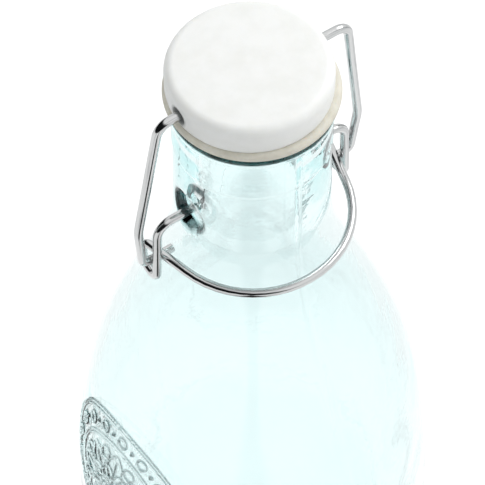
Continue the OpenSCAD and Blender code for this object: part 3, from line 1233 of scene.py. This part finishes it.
@dataclass
class WireClosure:
    """Hooked bail and over-centre lever, bent from bright spring wire."""

    pivot_z: float = 268.2
    crossbar_z: float = 301.3
    wire_d: float = 2.0
    wire_gap: float = 0.35
    loop_r: float = 21.3
    loop_toe: float = 15.0
    loop_dip: float = 1.0
    eye_top_drop: float = 11.7
    eye_h: float = 6.9
    eye_w: float = 6.2
    eye_bend_r: float = 2.6
    lever_half_w: float = 23.7
    lever_bend_r: float = 3.6
    pin_end_x: float = 13.0
    bail_half_w: float = 22.7
    bail_kink_half_w: float = 27.9
    bail_kink_h: float = -0.8
    bail_kink_back: float = 1.6
    bail_bend_r: float = 3.4
    bail_kink_r: float = 14.0
    bail_foot_half_w: float = 26.9
    hook_bend_r: float = 2.2
    hook_end_x: float = 19.3
    bail_shift: float = 0.5
    stub_slack: float = 0.05
    foot_slack: float = 0.1
    front_slack: float = 0.2

    def placed(self, half: list[Vector], shift: float = 0.0) -> list[Vector]:
        """Both halves of a wire, lifted to the pivot line and shifted along it."""
        return [p + Vector((shift, 0, self.pivot_z)) for p in mirrored(half)]

    def bail(self) -> BentWire:
        """Upper wire: crossbar through the stopper, two arms and two hooks."""
        stub_back = self.wire_d + self.wire_gap + self.stub_slack
        share = (self.eye_w - stub_back) / (self.loop_r + self.eye_w)
        drop = self.eye_top_drop + self.wire_d + self.wire_gap + self.loop_dip * share
        half = [
            Vector((self.bail_half_w, 0, self.crossbar_z - self.pivot_z)),
            Vector((self.bail_kink_half_w, self.bail_kink_back, self.bail_kink_h)),
            Vector((self.bail_foot_half_w, stub_back, -drop)),
            Vector((self.hook_end_x, stub_back, -drop)),
        ]
        bends = [self.bail_bend_r, self.bail_kink_r, self.hook_bend_r, 0.0]
        return BentWire(
            "bail_steel", self.placed(half, self.bail_shift), bends[::-1] + bends
        )

    def lever(self) -> BentWire:
        """Lower wire: pins in the neck's sockets, legs, eyes and thumb loop."""
        toe = math.radians(self.loop_toe)
        corner_x = self.loop_r * math.tan(math.radians(90 - self.loop_toe) / 2)
        foot_x = self.loop_r / math.cos(toe) + self.wire_d + self.wire_gap + self.foot_slack
        eye_x = self.loop_r / math.cos(toe) + self.eye_w * math.tan(toe)
        bottom = -self.eye_top_drop - self.eye_h
        half = [
            Vector((corner_x, -self.loop_r, -self.eye_top_drop - self.loop_dip)),
            Vector((eye_x, self.eye_w, -self.eye_top_drop)),
            Vector(((eye_x + foot_x) / 2, self.eye_w, bottom)),
            Vector((foot_x, 0, bottom)),
            Vector((self.lever_half_w, 0, 0)),
            Vector((self.pin_end_x, 0, 0)),
        ]
        turn = (half[1] - half[0]).angle(Vector((1, 0, 0)))
        front = (corner_x - self.front_slack) / math.tan(turn / 2)
        eye = self.eye_bend_r
        bends = [front, eye, eye, eye, self.lever_bend_r, 0.0]
        return BentWire("lever_steel", self.placed(half), bends[::-1] + bends)

    def build(self, material: bpy.types.Material) -> list[bpy.types.Object]:
        """Model both wires and dress them."""
        made = []
        for wire, body, node in (
            (self.bail(), Body.BAIL, "bail_wire"),
            (self.lever(), Body.LEVER, "lever_wire"),
        ):
            piece = wire.model()
            finish_piece(piece, body, node, material, 50.0)
            made.append(piece)
        return made


# ---------------------------------------------------------------- studio


@dataclass
class Studio:
    """Pale table, white surround and a camera above the bottle's left front.

    Lengths of the camera are in millimetres, those of the table in metres.  The glow is
    what the table gives off to rays of the camera (board) and to rays that come through
    the bottle or off it, which falls from near to far: each has its distance and strength.
    """

    azimuth_deg: float = -34.5
    elevation_deg: float = 52.0
    distance: float = 479.5
    lip_z: float = 296.0
    aim_z: float = 243.1
    aim_side: float = -0.05
    roll_deg: float = -0.1
    focal_px: float = 2400.0
    image_px: float = 485.0
    centre_px: float = 252.1
    sensor_mm: float = 36.0
    clip: Span = (0.01, 20.0)
    floor_size: float = 24.0
    floor_z: float = -0.0002
    table_edge: Span = (0.12, 0.16)
    gap_side: Span = (0.03, 0.09)
    board_shade: str = "#ececec"
    gap_shade: str = "#1d1f20"
    board_glow: float = 0.36
    near_glow: Span = (0.05, 0.5)
    far_glow: Span = (0.24, 0.19)
    light_side: Way = (0.7, 0.4, 0.6)
    light_edge: Span = (0.05, 0.3)
    dome: Stops = ((0.0, "#d9dcdc"), (0.12, "#f2f4f4"), (0.6, WHITE), (1.0, WHITE))
    room_shade: str = "#17191a"
    fill_shade: str = "#bcbebf"
    lamp_w: float = 3.2
    lamp_size: Span = (0.7, 0.5)
    lamp_distance: float = 0.9
    lamp_z: Span = (0.45, 0.25)

    def camera(self) -> None:
        """Place the camera."""
        a, e = math.radians(self.azimuth_deg), math.radians(self.elevation_deg)
        back = Vector((math.sin(a) * math.cos(e), -math.cos(a) * math.cos(e), math.sin(e)))
        place = Vector((0, 0, self.lip_z)) + back * self.distance
        aim = Vector((math.cos(a) * self.aim_side, math.sin(a) * self.aim_side, self.aim_z))
        ahead = (aim - place).normalized()
        right = ahead.cross(Vector((0, 0, 1))).normalized()
        up = right.cross(ahead)
        roll = math.radians(self.roll_deg)
        side = right * math.cos(roll) + up * math.sin(roll)
        top = up * math.cos(roll) - right * math.sin(roll)
        data = bpy.data.cameras.new("camera")
        data.sensor_width = self.sensor_mm
        data.lens = self.sensor_mm * self.focal_px / self.image_px
        data.shift_x = (self.image_px / 2 - self.centre_px) / self.image_px
        data.clip_start, data.clip_end = self.clip
        made = bpy.data.objects.new("camera", data)
        bpy.context.scene.collection.objects.link(made)
        turn = Matrix((side, top, -ahead)).transposed().to_4x4()
        made.matrix_world = Matrix.Translation(place * MM) @ turn
        bpy.context.scene.camera = made

    def rays(self, tree: Tree, *kinds: str) -> Source:
        """Value that is 1 for rays of any of the given kinds.

        Args:
            tree: Node tree to add to.
            kinds: Names of outputs of the Light Path node.

        Returns:
            The value.
        """
        path = add(tree, "LightPath").outputs
        found = path[kinds[0]]
        for kind in kinds[1:]:
            found = add(tree, "Math", {0: found, 1: path[kind]}, operation="MAXIMUM")
        return found

    def along(
        self, tree: Tree, way: Source, axis: Way, span: Span, size: bool
    ) -> bpy.types.Node:
        """Smooth step from 0 to 1 of how far a direction or place lies along an axis.

        Args:
            tree: Node tree to add to.
            way: Direction or place.
            axis: Axis to measure along.
            span: Values at which the step starts and ends.
            size: Whether both senses of the axis count alike.

        Returns:
            Node with the step.
        """
        value = add(tree, "VectorMath", {0: way, 1: axis}, operation="DOT_PRODUCT")
        if size:
            value = add(tree, "Math", {0: value}, operation="ABSOLUTE")
        ends = {"Value": value, "From Min": span[0], "From Max": span[1]}
        return add(tree, "MapRange", ends, interpolation_type="SMOOTHSTEP")

    def axes(self) -> tuple[Way, Way]:
        """Level directions to the camera's right and from the bottle to the camera."""
        a = math.radians(self.azimuth_deg)
        return (math.cos(a), math.sin(a), 0.0), (math.sin(a), -math.cos(a), 0.0)

    def light_way(self) -> Way:
        """Direction from the bottle to the middle of the white side of the room."""
        right, toward = self.axes()
        side, back, up = self.light_side
        way = Vector(right) * side - Vector(toward) * back + Vector((0, 0, up))
        return tuple(way.normalized())

    def gap(self, tree: Tree, place: Source) -> bpy.types.Node:
        """Dark gap in front of the table, that only the bottle's outer gloss mirrors.

        Args:
            tree: Node tree to add to.
            place: Place on the table.

        Returns:
            Node with 1 in the gap for those rays and 0 elsewhere.
        """
        right, toward = self.axes()
        past_edge = self.along(tree, place, toward, self.table_edge, False)
        aside = self.along(tree, place, right, self.gap_side, True)
        ahead = add(tree, "Math", {0: 1.0, 1: aside}, operation="SUBTRACT")
        gone = add(tree, "Math", {0: ahead, 1: past_edge}, operation="MULTIPLY")
        path = add(tree, "LightPath").outputs
        depth, gloss = path["Transmission Depth"], path["Is Glossy Ray"]
        outside = add(tree, "Math", {0: depth, 1: 0.5}, operation="LESS_THAN")
        unseen = add(tree, "Math", {0: gloss, 1: outside}, operation="MULTIPLY")
        return add(tree, "Math", {0: gone, 1: unseen}, operation="MULTIPLY")

    def glow(self, tree: Tree, place: Source) -> bpy.types.Node:
        """Strength of the light that the table gives off at a place to each kind of ray."""
        (near, bright), (far, dim) = self.near_glow, self.far_glow
        distance = add(tree, "VectorMath", {0: place}, operation="LENGTH")
        fall = {"From Min": near, "From Max": far, "To Min": bright, "To Max": dim}
        falling = add(tree, "MapRange", {"Value": distance} | fall)
        through = self.rays(tree, "Is Transmission Ray", "Is Glossy Ray")
        passed = add(tree, "Math", {0: through, 1: falling}, operation="MULTIPLY")
        seen = {0: self.rays(tree, "Is Camera Ray"), 1: self.board_glow, 2: passed}
        return add(tree, "Math", seen, operation="MULTIPLY_ADD")

    def floor(self) -> None:
        """Lay the pale table that the bottle stands on."""
        deselect_all()
        middle = (0, 0, self.floor_z)
        bpy.ops.mesh.primitive_plane_add(size=self.floor_size, location=middle)
        table = bpy.context.active_object
        table.name = "studio_table"
        made, tree = blank("matt_white_board")
        place = add(tree, "TexCoord").outputs["Object"]
        dark = self.gap(tree, place)
        shades = (0.0, self.board_shade), (1.0, self.gap_shade)
        board = {"Color": add(tree, "ValToRGB", {"Fac": dark}, shades), "Roughness": 0.6}
        shades = (0.0, WHITE), (1.0, self.gap_shade)
        shine = add(tree, "ValToRGB", {"Fac": dark}, shades)
        lift = {"Color": shine, "Strength": self.glow(tree, place)}
        both = {0: add(tree, "BsdfDiffuse", board), 1: add(tree, "Emission", lift)}
        add(tree, "OutputMaterial", {"Surface": add(tree, "AddShader", both)})
        table.data.materials.append(made)

    def surround(self) -> None:
        """White surround on the right, behind and above; the rest of the room is dark."""
        world = bpy.data.worlds.new("white_surround")
        bpy.context.scene.world = world
        world.use_nodes = True
        tree = world.node_tree
        tree.nodes.clear()
        way = add(tree, "TexCoord").outputs["Generated"]
        height = add(tree, "SeparateXYZ", {0: way}).outputs["Z"]
        shades = (0.0, self.room_shade), (1.0, self.fill_shade)
        sides = {
            "Factor": self.along(tree, way, self.light_way(), self.light_edge, False),
            "A": add(tree, "ValToRGB", {"Fac": self.rays(tree, "Is Diffuse Ray")}, shades),
            "B": linear(WHITE),
        }
        tent = {
            "Factor": 1.0,
            "A": add(tree, "ValToRGB", {"Fac": height}, self.dome),
            "B": add(tree, "Mix", sides, data_type="RGBA"),
        }
        seen = {
            "Factor": self.rays(tree, "Is Camera Ray"),
            "A": add(tree, "Mix", tent, data_type="RGBA", blend_type="MULTIPLY"),
            "B": linear(WHITE),
        }
        white = add(tree, "Mix", seen, data_type="RGBA")
        ground = add(tree, "Background", {"Color": white, "Strength": 1.0})
        add(tree, "OutputWorld", {"Surface": ground})

    def lamps(self) -> None:
        """One large soft lamp above the white side of the room."""
        data = bpy.data.lights.new("soft_box", "AREA")
        data.shape = "RECTANGLE"
        data.size, data.size_y = self.lamp_size
        data.energy = self.lamp_w
        lamp = bpy.data.objects.new("soft_box", data)
        bpy.context.scene.collection.objects.link(lamp)
        lift, aim = self.lamp_z
        place = Vector(self.light_way()) * self.lamp_distance + Vector((0, 0, lift))
        lamp.location = place
        lamp.rotation_mode = "QUATERNION"
        lamp.rotation_quaternion = (place - Vector((0, 0, aim))).to_track_quat("Z", "Y")

    def build(self) -> None:
        """Set up camera, table, surround and lamp."""
        self.camera()
        self.floor()
        self.surround()
        self.lamps()
        scene = bpy.context.scene
        scene.view_settings.view_transform = "Standard"
        # Thick glass guides light along its wall over many inner reflections.
        scene.cycles.max_bounces = 32
        scene.cycles.glossy_bounces = 24
        scene.cycles.transmission_bounces = 24


def report(pieces: Iterable[bpy.types.Object]) -> None:
    """Log each piece's box in millimetres.

    Args:
        pieces: The finished pieces.
    """
    for piece in pieces:
        size = [round(s / MM, 1) for s in piece.dimensions]
        LOG.info("%s measures %s mm", piece.name, size)


def main() -> None:
    """Build the bottle's pieces in order, then the studio."""
    logging.basicConfig(level=logging.INFO, format="%(name)s: %(message)s")
    pieces = [
        GlassBottle().build(RecycledGlass().make()),
        Stopper().build(MouldedPolyamide().make()),
        Gasket().build(NaturalRubber().make()),
    ]
    pieces += WireClosure().build(DrawnSteel().make())
    report(pieces)
    Studio().build()


if __name__ == "__main__":
    main()
